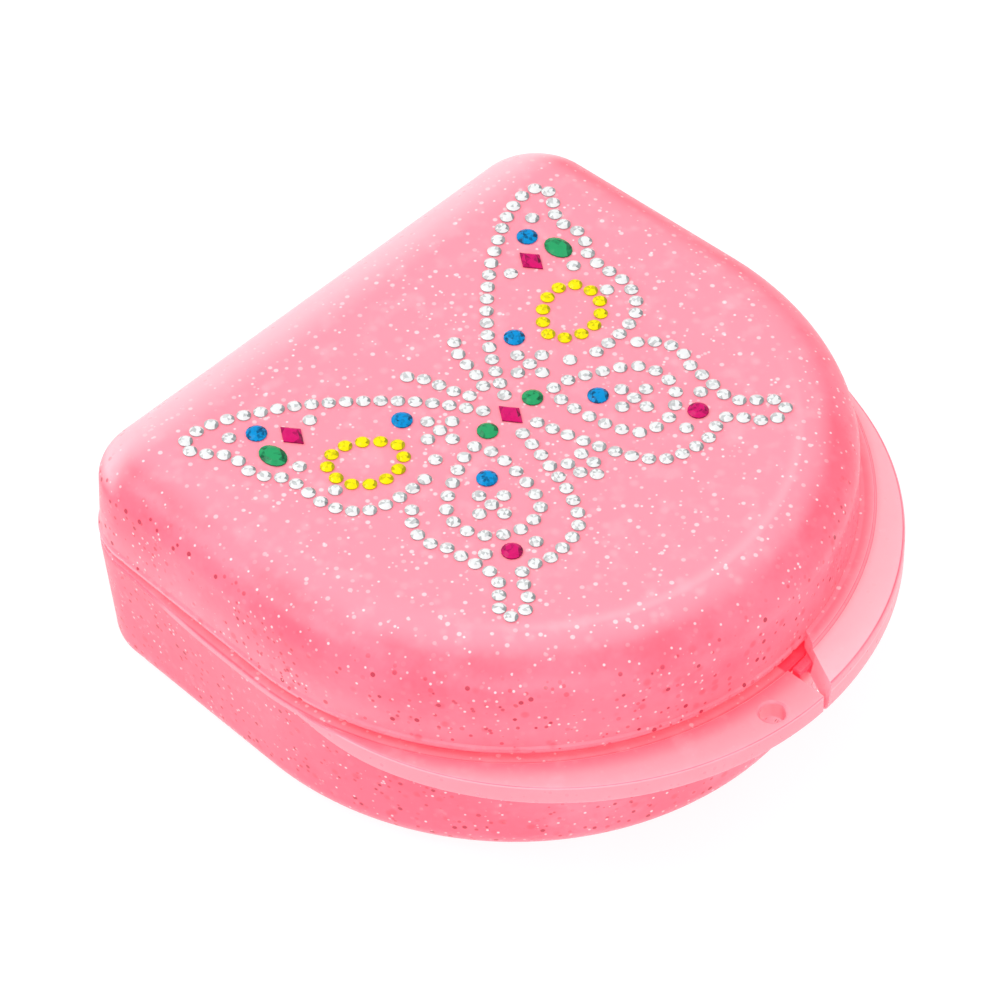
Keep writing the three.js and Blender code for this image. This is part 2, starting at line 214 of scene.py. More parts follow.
# where each mask on the plastic starts and where it is full
# places are in millimetres, leans are parts of the normal
zones = {
    "level": (0.88, 0.994),
    "leaning": (0.5, 0.9),
    "behindFront": (-32.0, -8.0),
    "pastWall": (43.5, 43.8),
    "aboveTabs": (seam + 1.2, seam + 1.5),
    "belowTabs": (seam - 3.7, seam - 3.4),
    "cloud": (0.38, 0.62),
    "mottle": (0.5, 0.72),
    "sides": (0.45, 0.95),
    "rightSide": (0.4, 0.9),
    "underside": (1.0, 6.5),
    "crest": (0.992, 0.008),  # middle and width
    "backward": (0.0, 0.4),
    "shoulder": (0.3, 0.75),
    "foot": (seam + 0.4, 0.55),  # middle and width
    "skirtFrom": (seam - 0.2, seam + 0.2),
    "skirtTo": (seam + 1.5, seam + 7.5),
    "tabEnds": (5.0, 4.0),  # middle and width
    "tabEndsSoft": (0.0, 0.3),
    "tabEndsBehind": (-38.0, -37.0),
    "endFaces": (0.35, 0.7),
    "endFacesOut": (45.9, 46.2),
    "line": (seam - 0.6, 0.25),  # middle and width
    "lineOut": (44.0, 44.1),
    "pocketFrom": (2.0, 2.4),
    "pocketTo": (46.0, 46.3),
    "pocketLow": (seam - 3.4, seam - 1.4),
    "pocketHigh": (seam - 0.4, seam - 0.2),
}
innerEdge = 43.6  # where the crescents' plates start to grow paler
amounts = {
    "rightSide": 0.25,
    "low": 0.45,
    "crest": 0.4,
    "foot": 0.45,
    "skirt": 0.22,
    "deepDark": 0.35,
    "dark": 0.9,
    "darkFine": 0.65,
    "edge": 0.75,
    "endFaces": 0.7,
    "edgeHighlights": 0.6,
    "pocketShade": 0.85,
    "clearTabs": 0.85,
}
# cells in a metre, size and softness of a speck in its cell, and the share that is left out
flakeKinds = {
    "deepPale": (420.0, 0.36, 0.3, 0.2),
    "deepDark": (400.0, 0.3, 0.2, 0.2),
    "pale": (760.0, 0.27, 0.08, 0.35),
    "spark": (1150.0, 0.24, 0.07, 0.5),
    "dark": (560.0, 0.22, 0.07, 0.15),
    "darkFine": (820.0, 0.25, 0.08, 0.4),
}
flakeFade = 0.45


def flakes(shade, place, kind):
    # round specks scattered through the plastic, each with a brightness of its own
    scale, size, softness, keep = flakeKinds[kind]
    away = shade.cells(place, scale, 0)
    chance = shade.axis(shade.cells(place, scale, 1), 0)
    return away.step(size, size - softness) * chance.step(keep, keep + flakeFade)


def shifted(shade, place, offset):
    return shade.node("ShaderNodeVectorMath", {"operation": "ADD"}, {0: place, 1: offset})


def fromMiddle(x, y):
    # how far out a place is in the plan, so that the body's wall is at the front radius all round
    along = y - case["frontCentreY"]
    behind = along.maths("MAXIMUM", along, 0.0) * math.tan(case["splay"])
    ahead = along.maths("MINIMUM", along, 0.0)
    sideways = x.maths("ABSOLUTE", x) + behind
    return (sideways * sideways + ahead * ahead) ** 0.5


def casePlastic(name, tints):
    shade = Shade(name)
    place, normal = shade.place(), shade.facing()
    facing, backward, sideways = (shade.axis(normal, index) for index in (2, 1, 0))
    x, y, height = (shade.axis(place, index) / mm for index in (0, 1, 2))
    flatness = facing.maths("ABSOLUTE", facing)
    upward = flatness.step(*zones["level"])
    steep = 1 - flatness.step(*zones["leaning"])
    front = 1 - y.step(*zones["behindFront"])
    reach = fromMiddle(x, y)
    outside = reach.step(*zones["pastWall"]) * height.step(*zones["belowTabs"])
    outside = outside * (1 - height.step(*zones["aboveTabs"]))
    cloud = shade.noise(place, 55.0, 5.0, 0.65)
    mottle = shade.noise(place, 260.0, 3.0)
    fine = shade.noise(place, 900.0, 2.0)
    pale, paleFlake, darkFlake = (tint(plastic[key]) for key in ("pale", "paleFlake", "darkFlake"))

    # painted light: the top is paler than the walls because light falls from above; the cloudy tone
    # on the walls is the plastic's own
    walls = shade.blend(cloud.step(*zones["cloud"]), tint(tints["wall"]), tint(tints["cloudy"]))
    colour = shade.blend(upward, walls, tint(tints["top"]))
    # painted light: the crescents' plates grow paler outward, where light comes through the thin
    # plastic
    outward = reach.step(innerEdge, tints["innerTo"])
    plate = shade.blend(outward, tint(tints["inner"]), tint(tints["plate"]))
    colour = shade.blend(upward * outside, colour, plate)

    # deeper on the two sides and low down: partly the deeper tone where more plastic lies behind,
    # partly painted shade, with more painted shade on the right side
    turned = sideways.maths("ABSOLUTE", sideways).step(*zones["sides"]) * tints["deepSides"]
    turned = turned + sideways.step(*zones["rightSide"]) * amounts["rightSide"]
    low = (1 - height.step(*zones["underside"])) * amounts["low"]
    shadeAndDepth = turned.maths("MAXIMUM", turned, low) * (1 - upward)
    colour = shade.blend(shadeAndDepth, colour, tint(plastic["deep"]))

    # painted highlights: paler along the crest, down the shoulder that faces backward and round the
    # lid's foot; also paler in a band on the walls just above the seam
    crestHighlight = facing.bell(*zones["crest"]) * front * amounts["crest"]
    behind = backward.step(*zones["backward"]) * facing.step(*zones["shoulder"])
    foot = height.bell(*zones["foot"]) * steep * amounts["foot"]
    skirt = height.step(*zones["skirtFrom"]) * (1 - height.step(*zones["skirtTo"]))
    skirt = skirt * steep * amounts["skirt"]
    foot = foot.maths("MAXIMUM", foot, skirt)
    paler = crestHighlight.maths("MAXIMUM", crestHighlight, foot.maths("MAXIMUM", foot, behind))
    colour = shade.blend(paler, colour, pale)
    colour = shade.blend(mottle.step(*zones["mottle"]) * (0.06 + 0.22 * upward), colour, pale)

    # flakes: sharp ones near the skin, soft ones deeper down, few in the thin edges. The glitter is
    # the plastic's own, but its pale flakes are weighted to the top and its dark ones to the walls
    # as painted reflection of the bright light above and the darker surroundings
    second = shifted(shade, place, (0.4, 0.7, 0.2))
    third = shifted(shade, place, (0.1, 0.3, 0.9))
    shown = 1 - outside * amounts["clearTabs"]
    deepPale = flakes(shade, second, "deepPale")
    deepDark = flakes(shade, place, "deepDark")
    bright = flakes(shade, place, "pale")
    spark = flakes(shade, second, "spark")
    dark = flakes(shade, second, "dark")
    darkFine = flakes(shade, third, "darkFine")
    colour = shade.blend(deepPale * (0.08 + 0.27 * upward) * shown, colour, pale)
    colour = shade.blend(deepDark * steep * shown * amounts["deepDark"], colour, darkFlake)
    darker = dark.maths("MAXIMUM", dark * amounts["dark"], darkFine * amounts["darkFine"])
    colour = shade.blend(darker * steep * shown, colour, darkFlake)
    colour = shade.blend(bright * shown * (0.1 + 0.6 * upward), colour, paleFlake)
    colour = shade.blend(spark * shown * (0.75 + 0.15 * upward), colour, paleFlake)
    colour = shade.blend(outside * steep * amounts["edge"], colour, tint(plastic["edge"]))

    # painted highlights: light lines on the outer edges, and the sloping end lightened though it
    # faces away from the light; painted shade: a deep tone in the latch pocket
    ends = x.bell(*zones["tabEnds"]).step(*zones["tabEndsSoft"])
    ends = ends * (1 - y.step(*zones["tabEndsBehind"]))
    slopeLight = outside * ends * (0 - sideways).step(*zones["endFaces"])
    slopeLight = slopeLight * reach.step(*zones["endFacesOut"]) * amounts["endFaces"]
    edgeHighlights = height.bell(*zones["line"]) * outside * steep * reach.step(*zones["lineOut"])
    edgeHighlights = edgeHighlights * amounts["edgeHighlights"]
    colour = shade.blend(slopeLight.maths("MAXIMUM", slopeLight, edgeHighlights), colour, pale)
    pocketShade = ends * x.step(*zones["pocketFrom"]) * (1 - reach.step(*zones["pocketTo"]))
    pocketShade = pocketShade * height.step(*zones["pocketLow"]) * (1 - height.step(*zones["pocketHigh"]))
    colour = shade.blend(pocketShade * amounts["pocketShade"], colour, tint(plastic["pocketShade"]))

    glints = bright.maths("MAXIMUM", bright, spark)
    relief = mottle * 0.5 + fine * 0.2 + glints * 0.3
    return shade.finish(
        {
            "Base Color": colour,
            "Roughness": plastic["roughness"] + 0.14 * mottle - 0.15 * glints,
            "Normal": shade.bump(relief, plastic["bumpStrength"], plastic["bumpDepth"]),
            "Subsurface Weight": plastic["scatter"],
            "Subsurface Radius": plastic["scatterRadius"],
            "Subsurface Scale": plastic["scatterScale"],
            "Coat Weight": plastic["coat"],
            "Coat Roughness": plastic["coatRoughness"],
            "IOR": plastic["refraction"],
            "Emission Color": tint(plastic["glow"]),
            "Emission Strength": plastic["glowStrength"],
        }
    )


def makeObject(name, mesh):
    piece = bpy.data.objects.new(name, mesh)
    bpy.context.scene.collection.objects.link(piece)
    return piece


def fromRings(name, rings):
    # a closed skin over rings of points in millimetres, with flat ends
    count = len(rings[0])
    points = [[c * mm for c in point] for ring in rings for point in ring]
    faces = []
    for r in range(len(rings) - 1):
        low, high = r * count, (r + 1) * count
        for i in range(count):
            j = (i + 1) % count
            faces.append((low + i, low + j, high + j, high + i))
    faces.append(tuple(reversed(range(count))))
    faces.append(tuple(range((len(rings) - 1) * count, len(rings) * count)))
    mesh = bpy.data.meshes.new(name)
    mesh.from_pydata(points, [], faces)
    tidyMesh(mesh)
    return makeObject(name, mesh)


def tidyMesh(mesh, merge=0.0):
    work = bmesh.new()
    work.from_mesh(mesh)
    if merge:
        bmesh.ops.remove_doubles(work, verts=work.verts, dist=merge)
        bmesh.ops.dissolve_degenerate(work, edges=work.edges, dist=merge)
    bmesh.ops.recalc_face_normals(work, faces=work.faces)
    work.to_mesh(mesh)
    work.free()


def smooth(piece, angle=32.0):
    mesh = piece.data
    mesh.shade_smooth()
    mesh.set_sharp_from_angle(angle=math.radians(angle))


def applyAll(piece):
    # bakes the modifiers into the mesh
    depsgraph = bpy.context.evaluated_depsgraph_get()
    mesh = bpy.data.meshes.new_from_object(piece.evaluated_get(depsgraph))
    piece.modifiers.clear()
    old = piece.data
    piece.data = mesh
    bpy.data.meshes.remove(old)


def combine(piece, other, operation="UNION"):
    # joins or cuts with another piece, which is then gone
    cut = piece.modifiers.new("combine", "BOOLEAN")
    cut.operation = operation
    cut.solver = "EXACT"
    cut.object = other
    applyAll(piece)
    bpy.data.objects.remove(other)


def rounded(corners, steps=4):
    # a polyline whose corners, given as (a, b, radius), are turned into arcs; it does not close
    points = []
    for i, (a, b, radius) in enumerate(corners):
        if radius == 0 or i in (0, len(corners) - 1):
            points.append((a, b))
            continue
        here = Vector((a, b))
        before = Vector(corners[i - 1][:2]) - here
        after = Vector(corners[i + 1][:2]) - here
        room = min(before.length, after.length) * 0.49
        turn = math.pi - before.angle(after, 0.0)
        if room < 1e-5 or turn < 0.01 or turn > 3.1:
            points += [(a, b)] * (steps + 1)
            continue
        reach = min(radius * math.tan(turn / 2), room)
        start, end = here + before.normalized() * reach, here + after.normalized() * reach
        middle = (before.normalized() + after.normalized()).normalized()
        centre = here + middle * (reach / math.sin(turn / 2))
        first, last = start - centre, end - centre
        for s in range(steps + 1):
            share = s / steps
            point = first * math.sin((1 - share) * turn) + last * math.sin(share * turn)
            points.append(tuple(centre + point / math.sin(turn)))
    return points


def closedRounded(corners, steps=4):
    # the same for a closed outline
    wrapped = [corners[-1]] + corners + [corners[0]]
    ends = [corners[-1][:2] + (0,), *wrapped[1:-1], corners[0][:2] + (0,)]
    return rounded(ends, steps)[1:-1]


def bodyOutline(inset):
    # the D of the case's plan, moved in by an inset
    radius = case["frontRadius"] - inset
    corner = max(case["cornerRadius"] - inset, 1.5)
    cornerY = case["backY"] - inset - corner
    nx, ny = math.cos(case["splay"]), math.sin(case["splay"])
    cornerX = (radius + ny * case["frontCentreY"] - corner - ny * cornerY) / nx
    points = []
    sweep = math.pi + 2 * case["splay"]
    for i in range(case["frontSteps"] + 1):
        angle = case["splay"] - i / case["frontSteps"] * sweep
        points.append((radius * math.cos(angle), case["frontCentreY"] + radius * math.sin(angle)))
    left = []
    for i in range(case["cornerSteps"] + 1):
        angle = case["splay"] + i / case["cornerSteps"] * (math.pi / 2 - case["splay"])
        left.append((-cornerX - corner * math.cos(angle), cornerY + corner * math.sin(angle)))
    right = [(-x, y) for x, y in reversed(left)]
    back = left + between(left[-1], right[0]) + right
    return points + between(points[-1], left[0]) + back + between(right[-1], points[0])


def between(start, end):
    steps = case["sideSteps"]
    return [
        (start[0] + (end[0] - start[0]) * s / steps, start[1] + (end[1] - start[1]) * s / steps)
        for s in range(1, steps)
    ]


def easeBetween(value, low, high):
    share = min(1.0, max(0.0, (value - low) / (high - low)))
    return share * share * (3 - 2 * share)


def dish(name, profile, frontProfile):
    # a shell from its profiles of (inset, height) at the back and along the front
    rings = []
    for (inset, z), (frontInset, frontZ) in zip(profile, frontProfile):
        ring = []
        for (x, y), (frontX, frontY) in zip(bodyOutline(inset), bodyOutline(frontInset)):
            share = 1 - easeBetween(y, case["fadeTo"], case["fadeFrom"])
            spot = (x + (frontX - x) * share, y + (frontY - y) * share, z + (frontZ - z) * share)
            ring.append(spot)
        rings.append(ring)
    return fromRings(name, rings)


def quarter(centreInset, centreZ, across, up, steps):
    # a quarter of an ellipse as profile points, from its top to its side
    points = []
    for i in range(steps + 1):
        angle = math.pi / 2 * (1 - i / steps)
        points.append((centreInset - across * math.cos(angle), centreZ + up * math.sin(angle)))
    return points


# the groove is the open line under the lid's edge, and the crescents start behind it
groove = {"inset": 0.9, "floor": seam - 1.1, "radius": 44.2}
sweep = {
    "start": -95,  # degrees from straight ahead
    "steps": 110,
    "crowding": 1.25,
    "middleRadius": 46.0,
    "cutFrom": 0.8,  # the share of the way after which the sections turn into the end's cut
    "cutOver": 0.2,
    "cutPower": 1.5,
}
baseTab = {
    "top": seam - 0.5,
    "thickness": 2.95,
    "startThickness": 0.7,
    "root": 41.8,
    "rising": (44.3, 45.3),  # the reach over which it comes up out of the ledge
    "deepening": (43.4, 46.0),
    "endX": 2.25,
    "cornerFrom": 49.8,
    "cornerWidth": 0.9,
    "cornerDepth": 0.5,
}
lidTab = {
    "top": seam + 0.7,
    "band": 45.2,
    "root": 41.8,
    "rim": 1.3,
    "depth": 4.15,
    "startLoss": 1.4,  # how much less deep the rim is where it starts
    "plate": 1.2,
    "lift": 0.45,
    "growing": (44.6, 46.4),
    "lifting": (45.2, 46.6),
    "closing": (0.975, 0.985),  # near its end the plate thickens and closes the hollow
    "closedBy": 1.2,
    "rimInside": 44.7,
    "highEnd": 7.7,
    "highSlope": 0.528,
    "lowEnd": 6.4,
    "lowSlope": 0.533,
    "slopeFrom": 42.6,
    "slopeHeight": 2.75,
    "endGap": 0.3,
    "cornerFrom": 49.6,
    "cornerWidth": 1.0,
    "cornerDepth": 0.6,
}
cornerPower = 2.5
cordHole = {"x": -4.1, "y": -43.4, "radius": 1.65, "chamfer": 0.3, "overshoot": 1.0, "sides": 48}


def tabReach(angle):
    # from the body's centre to the crescent's edge, at an angle from straight ahead
    offset = case["frontCentreY"] - case["tabCentreY"]
    return offset * math.cos(angle) + math.sqrt(tabRadius**2 - (offset * math.sin(angle)) ** 2)


def sweepTab(name, section, endX, side):
    # section(reach, share) gives (radius, height) pairs
    # endX(radius, height) is where the end is cut
    start = math.radians(sweep["start"])
    middle = math.asin(endX(sweep["middleRadius"], seam) * side / sweep["middleRadius"])
    rings = []
    for s in range(sweep["steps"] + 1):
        share = 1 - (1 - s / sweep["steps"]) ** sweep["crowding"]
        angle = start + (middle - start) * share
        blendIn = max(0.0, (share - sweep["cutFrom"]) / sweep["cutOver"]) ** sweep["cutPower"]
        ring = []
        for radius, height in section(tabReach(angle), share):
            endAngle = math.asin(endX(radius, height) * side / radius)
            turn = angle + (endAngle - middle) * blendIn
            x, y = side * radius * math.sin(turn), case["frontCentreY"] - radius * math.cos(turn)
            ring.append((x, y, height))
        rings.append(ring)
    return fromRings(name, rings)


def baseTabSection(reach, share):
    # thin where it starts, inside the ledge, and full past the groove
    low = groove["floor"] - 0.05
    top = low + (baseTab["top"] - low) * easeBetween(reach, *baseTab["rising"])
    thin = low - baseTab["startThickness"]
    deepened = thin - baseTab["top"] + baseTab["thickness"]
    bottom = thin - deepened * easeBetween(reach, *baseTab["deepening"])
    step = min(groove["radius"], reach - 0.6)
    root = baseTab["root"]
    corners = [
        (root, low, 0), (step - 0.05, low, 0.12), (step + 0.1, top, 0.15),
        (reach, top, 0.3), (reach, bottom, 0.5), (root, bottom, 0),
    ]
    return rounded(corners, 5)


def endCorner(tab, radius):
    # how much the outer corner of a crescent's end is rounded at a radius
    past = max(0.0, (radius - tab["cornerFrom"]) / tab["cornerWidth"])
    return tab["cornerDepth"] * past**cornerPower


def baseTabEnd(radius, height):
    return baseTab["endX"] - endCorner(baseTab, radius)


def lidTabSection(reach, share):
    top, root = lidTab["top"], lidTab["root"]
    raised = top + lidTab["lift"] * easeBetween(reach, *lidTab["lifting"])
    band = max(min(lidTab["band"], reach - 0.7), root + 0.4)
    under = top - lidTab["plate"]
    wallBottom = under - easeBetween(share, *lidTab["closing"]) * lidTab["closedBy"]
    full = lidTab["depth"] - lidTab["plate"] - lidTab["startLoss"] * (1 - share)
    depth = lidTab["plate"] + full * easeBetween(reach, *lidTab["growing"])
    inner = max(reach - lidTab["rim"], min(lidTab["rimInside"], reach - 0.1))
    corners = [
        (root, raised, 0), (band - 0.3, raised, 0.25), (band, top, 0.2),
        (reach, top, 0.55), (reach, top - depth, 0.4), (inner, top - depth, 0.25),
        (inner - 0.02, wallBottom, 0.15), (min(44.62, inner - 0.04), wallBottom, 0.05),
        (min(44.6, inner - 0.06), under, 0.05), (min(43.5, inner - 0.1), under, 0.05),
        (min(43.45, inner - 0.12), seam + 0.1, 0.05), (root, seam + 0.1, 0),
    ]
    return rounded(corners, 5)


def lidTabEnd(radius, height):
    # the end slopes: it reaches further at the bottom than at the top
    out = radius - lidTab["slopeFrom"]
    high = lidTab["highEnd"] - lidTab["highSlope"] * out
    low = max(lidTab["lowEnd"] - lidTab["lowSlope"] * out, baseTab["endX"] + lidTab["endGap"])
    share = (lidTab["top"] + lidTab["lift"] - height) / lidTab["slopeHeight"]
    return high + (low - high) * min(1.0, max(0.0, share)) + endCorner(lidTab, radius)


base = {
    "bottomInset": 1.5,
    "topInset": 0.05,
    "bottomRound": 4.7,
    "ledge": 0.94,
    "ledgeHeight": 0.8,
    "lip": (2.1, 3.0),  # insets of the inner lip that the lid closes over
    "lipTop": seam + 1.2,
    "rimTop": seam - 0.3,
    "wall": 3.1,
    "innerRound": 3.0,
    "innerTop": 5.0,
    "floor": 2.0,
}


def baseProfile(ledge):
    # from the middle of the underside, up the wall, over the rim and down inside
    under = groove["floor"] - base["ledgeHeight"]
    start = base["bottomInset"] + base["bottomRound"]
    lower = quarter(start, base["bottomRound"], base["bottomRound"], -base["bottomRound"], 14)
    lipOut, lipIn = base["lip"]
    walls = rounded(
        [
            lower[-1] + (0,), (base["topInset"], under - 0.7, 0.5), (-ledge, under, 0.25),
            (-ledge, groove["floor"], 0.22), (groove["inset"], groove["floor"], 0.2),
            (groove["inset"], base["rimTop"], 0.15), (lipOut - 0.1, base["rimTop"], 0.1),
            (lipOut, base["lipTop"], 0.25), (lipIn, base["lipTop"], 0.25),
            (base["wall"], base["innerTop"], 0),
        ],
        5,
    )
    bend = base["innerRound"]
    inner = list(reversed(quarter(base["wall"] + bend, base["innerTop"], bend, -bend, 8)))
    middle = [(inset, 0.0) for inset in (30, 18, 9, start + 0.6)]
    floor = [(inset, base["floor"]) for inset in (7.0, 12, 22, 30)]
    return middle + lower + walls[1:-1] + inner + floor


def buildBase():
    piece = dish("baseCase", baseProfile(0.0), baseProfile(base["ledge"]))
    combine(piece, sweepTab("baseTab", baseTabSection, baseTabEnd, 1))
    combine(piece, drill(), "DIFFERENCE")
    for side in (-1, 1):
        combine(piece, lug(side))
        holeFrom, holeTo = (side * x for x in hinge["hole"])
        combine(piece, turned("pegHole", hinge["holeRadius"], holeFrom, holeTo, 0.0), "DIFFERENCE")
    return piece


def circle(sides):
    return [2 * math.pi * i / sides for i in range(sides)]


def drill():
    # the cord hole's cutter, wider at its two ends
    radius, chamfer, past = cordHole["radius"], cordHole["chamfer"], cordHole["overshoot"]
    top, bottom = baseTab["top"], baseTab["top"] - baseTab["thickness"]
    wide = radius + past + chamfer
    profile = [
        (wide, bottom - past), (radius, bottom + chamfer),
        (radius, top - chamfer), (wide, top + past),
    ]
    x, y = cordHole["x"], cordHole["y"]
    turns = circle(cordHole["sides"])
    rings = [[(x + r * math.cos(a), y + r * math.sin(a), z) for a in turns] for r, z in profile]
    return fromRings("drill", rings)


hinge = {
    "barrel": 2.4,
    "peg": 1.2,
    "lug": (18.0, 21.0),
    "knuckle": (21.3, 27.3),
    "hole": (17.0, 22.0),
    "holeRadius": 1.5,
    "edge": 0.35,
    "plateEdge": 0.3,
    "sides": 40,
}
# outlines across the hinge, as (y, z, radius) from its line
lugWeb = [(-4.4, -8.5, 0.3), (1.7, -1.75, 1.0), (-1.0, -0.9, 0.2), (-4.4, -0.9, 0.2)]
knuckleArm = [(-4.2, 0.25, 0.1), (0.0, 0.25, 0.1), (0.0, 2.38, 0.1), (-4.2, 2.38, 0.1)]


def turned(name, radius, fromX, toX, edge):
    # a round bar along the hinge line, with rounded ends
    low, high = min(fromX, toX), max(fromX, toX)
    if edge:
        inner = radius - edge * 2
        profile = rounded(
            [(low, inner, 0), (low, radius, edge), (high, radius, edge), (high, inner, 0)]
        )
    else:
        profile = [(low, radius), (high, radius)]
    turns = circle(hinge["sides"])
    rings = []
    for x, r in profile:
        rings.append([(x, hingeY + r * math.cos(a), seam + r * math.sin(a)) for a in turns])
    return fromRings(name, rings)


def acrossPlate(name, outline, fromX, toX):
    # a plate across X whose outline is (y, z) from the hinge line, with eased edges
    low, high, edge = min(fromX, toX), max(fromX, toX), hinge["plateEdge"]
    centre = Vector((sum(p[0] for p in outline), sum(p[1] for p in outline))) / len(outline)
    slices = (
        (low, edge), (low + edge * 0.3, edge * 0.3), (low + edge, 0),
        (high - edge, 0), (high - edge * 0.3, edge * 0.3), (high, edge),
    )
    rings = []
    for x, shrink in slices:
        ring = []
        for y, z in outline:
            away = Vector((y, z)) - centre
            near = away * (1 - shrink / max(away.length, 1e-6))
            ring.append((x, hingeY + centre[0] + near[0], seam + centre[1] + near[1]))
        rings.append(ring)
    return fromRings(name, rings)


def lug(side):
    fromX, toX = (side * x for x in hinge["lug"])
    piece = acrossPlate("lug", closedRounded(lugWeb, 5), fromX, toX)
    combine(piece, turned("lugBarrel", hinge["barrel"], fromX, toX, hinge["edge"]))
    return piece


def knuckle(side):
    fromX, toX = (side * x for x in hinge["knuckle"])
    piece = acrossPlate("arm", closedRounded(knuckleArm, 3), fromX, toX)
    combine(piece, turned("barrel", hinge["barrel"], fromX, toX, hinge["edge"]))
    combine(piece, turned("peg", hinge["peg"], side * hinge["lug"][0], fromX + side, 0.2))
    return piece


lid = {
    "wallInset": 0.2,
    "across": 9.8,
    "up": 5.6,
    "wall": 1.7,
    "roof": 1.8,
    "bead": 0.15,
    "beadHeight": 0.7,
    "beadInset": 0.08,
}
tongue = {
    "from": 2.9,
    "to": 6.8,
    "inner": 44.4,
    "outer": 45.9,
    "bottom": seam - 4.0,
    "top": seam - 0.5,
    # how far along it is, and how much smaller there
    "taper": ((0, 0.3), (0.03, 0.1), (0.08, 0), (0.5, 0), (1, 0)),
}


def buildLid():
    shoulderZ = lidTop - lid["up"]
    flat = lid["wallInset"] + lid["across"]
    outer = quarter(flat, shoulderZ, lid["across"], lid["up"], 28)
    beadTop = seam + lid["beadHeight"]
    walls = rounded(
        [
            outer[-1] + (0,), (lid["beadInset"], seam + lid["beadHeight"] * 1.5, 0.2),
            (-lid["bead"], beadTop, 0.2), (-lid["bead"], seam, 0.22),
            (lid["wall"], seam, 0.2), (lid["wall"] + lid["wallInset"], shoulderZ, 0),
        ],
        5,
    )
    hollow = quarter(flat, shoulderZ, lid["across"] - lid["wall"], lid["up"] - lid["roof"], 14)
    inner = list(reversed(hollow))
    middle = [(inset, lidTop) for inset in (30, 22, 15, 12, flat + 0.7)]
    ceiling = [(inset, lidTop - lid["roof"]) for inset in (flat + 0.9, 14, 22, 30)]
    profile = middle + outer + walls[1:-1] + inner + ceiling
    piece = dish("lidCase", profile, profile)
    combine(piece, sweepTab("lidTab", lidTabSection, lidTabEnd, -1))
    combine(piece, latchTongue())
    for side in (-1, 1):
        combine(piece, knuckle(side))
    return piece


def latchTongue():
    # reaches from the end of the lid's crescent into the gap between the two crescents
    low, high = tongue["bottom"], tongue["top"]
    inner, outer = tongue["inner"], tongue["outer"]
    corners = [(inner, high, 0.3), (outer, high, 0.35), (outer, low, 0.5), (inner, low, 0.3)]
    section = closedRounded(corners, 4)
    middle = ((inner + outer) / 2, (low + high) / 2)
    rings = []
    for share, shrink in tongue["taper"]:
        x = tongue["from"] + (tongue["to"] - tongue["from"]) * share
        ring = []
        for radius, height in section:
            radius += (middle[0] - radius) * shrink * 0.6
            height += (middle[1] - height) * shrink * 0.3
            ring.append((x, case["frontCentreY"] - math.sqrt(radius**2 - x**2), height))
        rings.append(ring)
    return fromRings("tongue", rings)


guard = {
    "halfWidth": 24.0,
    "reach": 30.0,
    "arm": 12.0,
    "centreY": 5.3,
    "bottom": 2.3,
    "steps": 90,
    "endSteps": 4,
    "notchDepth": 2.6,
    "notchWidth": 0.022,
    "shellEase": 0.45,
    "linerEase": 0.3,
    "linerSpan": (0.02, 0.98),
    "smoothAngle": 60,
}
# heights of the two walls at the arms' ends, and how much higher they are in front
shellWalls = {"lip": 11.5, "lipRise": 5, "tongue": 8.5, "tongueRise": 3.5}
linerWalls = {"lip": 10.5, "lipRise": 5, "tongue": 7.5, "tongueRise": 3.5}


def archStation(share):
    # a place along the arch and the direction outward from it
    half, reach, arm = guard["halfWidth"], guard["reach"], guard["arm"]
    bend = math.pi / 4 * (half + reach)
    length = 2 * arm + 2 * bend
    along = share * length
    if along < arm:
        return (-half, guard["centreY"] + arm - along), (-1.0, 0.0)
    if along > length - arm:
        return (half, guard["centreY"] + along - (length - arm)), (1.0, 0.0)
    angle = ((along - arm) / bend - 1) * math.pi / 2
    out = Vector((math.sin(angle) / half, -math.cos(angle) / reach)).normalized()
    return (half * math.sin(angle), guard["centreY"] - reach * math.cos(angle)), tuple(out)


def archSweep(name, section, start, end, ease):
    # section(front, share) gives (out, up); the ends are eased so that they close round
    rings = []
    steps = guard["steps"]
    for i in range(steps + 1):
        share = start + (end - start) * i / steps
        (x, y), (outX, outY) = archStation(share)
        front = math.sin(math.pi * share)
        fromEnd = min(i, steps - i)
        squeeze = 1 - ease * max(0.0, 1 - fromEnd / guard["endSteps"]) ** 2
        points = section(front, share)
        midOut = sum(p[0] for p in points) / len(points)
        midUp = sum(p[1] for p in points) / len(points)
        ring = []
        for out, up in points:
            out, up = midOut + (out - midOut) * squeeze, midUp + (up - midUp) * squeeze
            ring.append((x + outX * out, y + outY * out, guard["bottom"] + up))
        rings.append(ring)
    return fromRings(name, rings)


def notch(share):
    # the dip in the lip-side wall that clears the frenum
    return guard["notchDepth"] * math.exp(-(((share - 0.5) / guard["notchWidth"]) ** 2))


def wallHeights(walls, front, share):
    lipSide = walls["lip"] + walls["lipRise"] * front - notch(share)
    return lipSide, walls["tongue"] + walls["tongueRise"] * front


def guardShellSection(front, share):
    lipSide, tongueSide = wallHeights(shellWalls, front, share)
    return closedRounded(
        [
            (-5.6, 0, 1.4), (5.6, 0, 1.4), (7.0, lipSide, 0.8), (5.0, lipSide, 0.7),
            (4.6, 2.8, 1.0), (-4.6, 2.8, 1.0), (-4.8, tongueSide, 0.7), (-6.7, tongueSide, 0.8),
        ],
        4,
    )


def guardLinerSection(front, share):
    lipSide, tongueSide = wallHeights(linerWalls, front, share)
    return closedRounded(
        [
            (-4.3, 3.1, 0.8), (4.3, 3.1, 0.8), (4.6, lipSide, 0.45), (3.5, lipSide, 0.45),
            (3.1, 4.4, 0.6), (-3.1, 4.4, 0.6), (-3.3, tongueSide, 0.4), (-4.4, tongueSide, 0.4),
        ],
        4,
    )


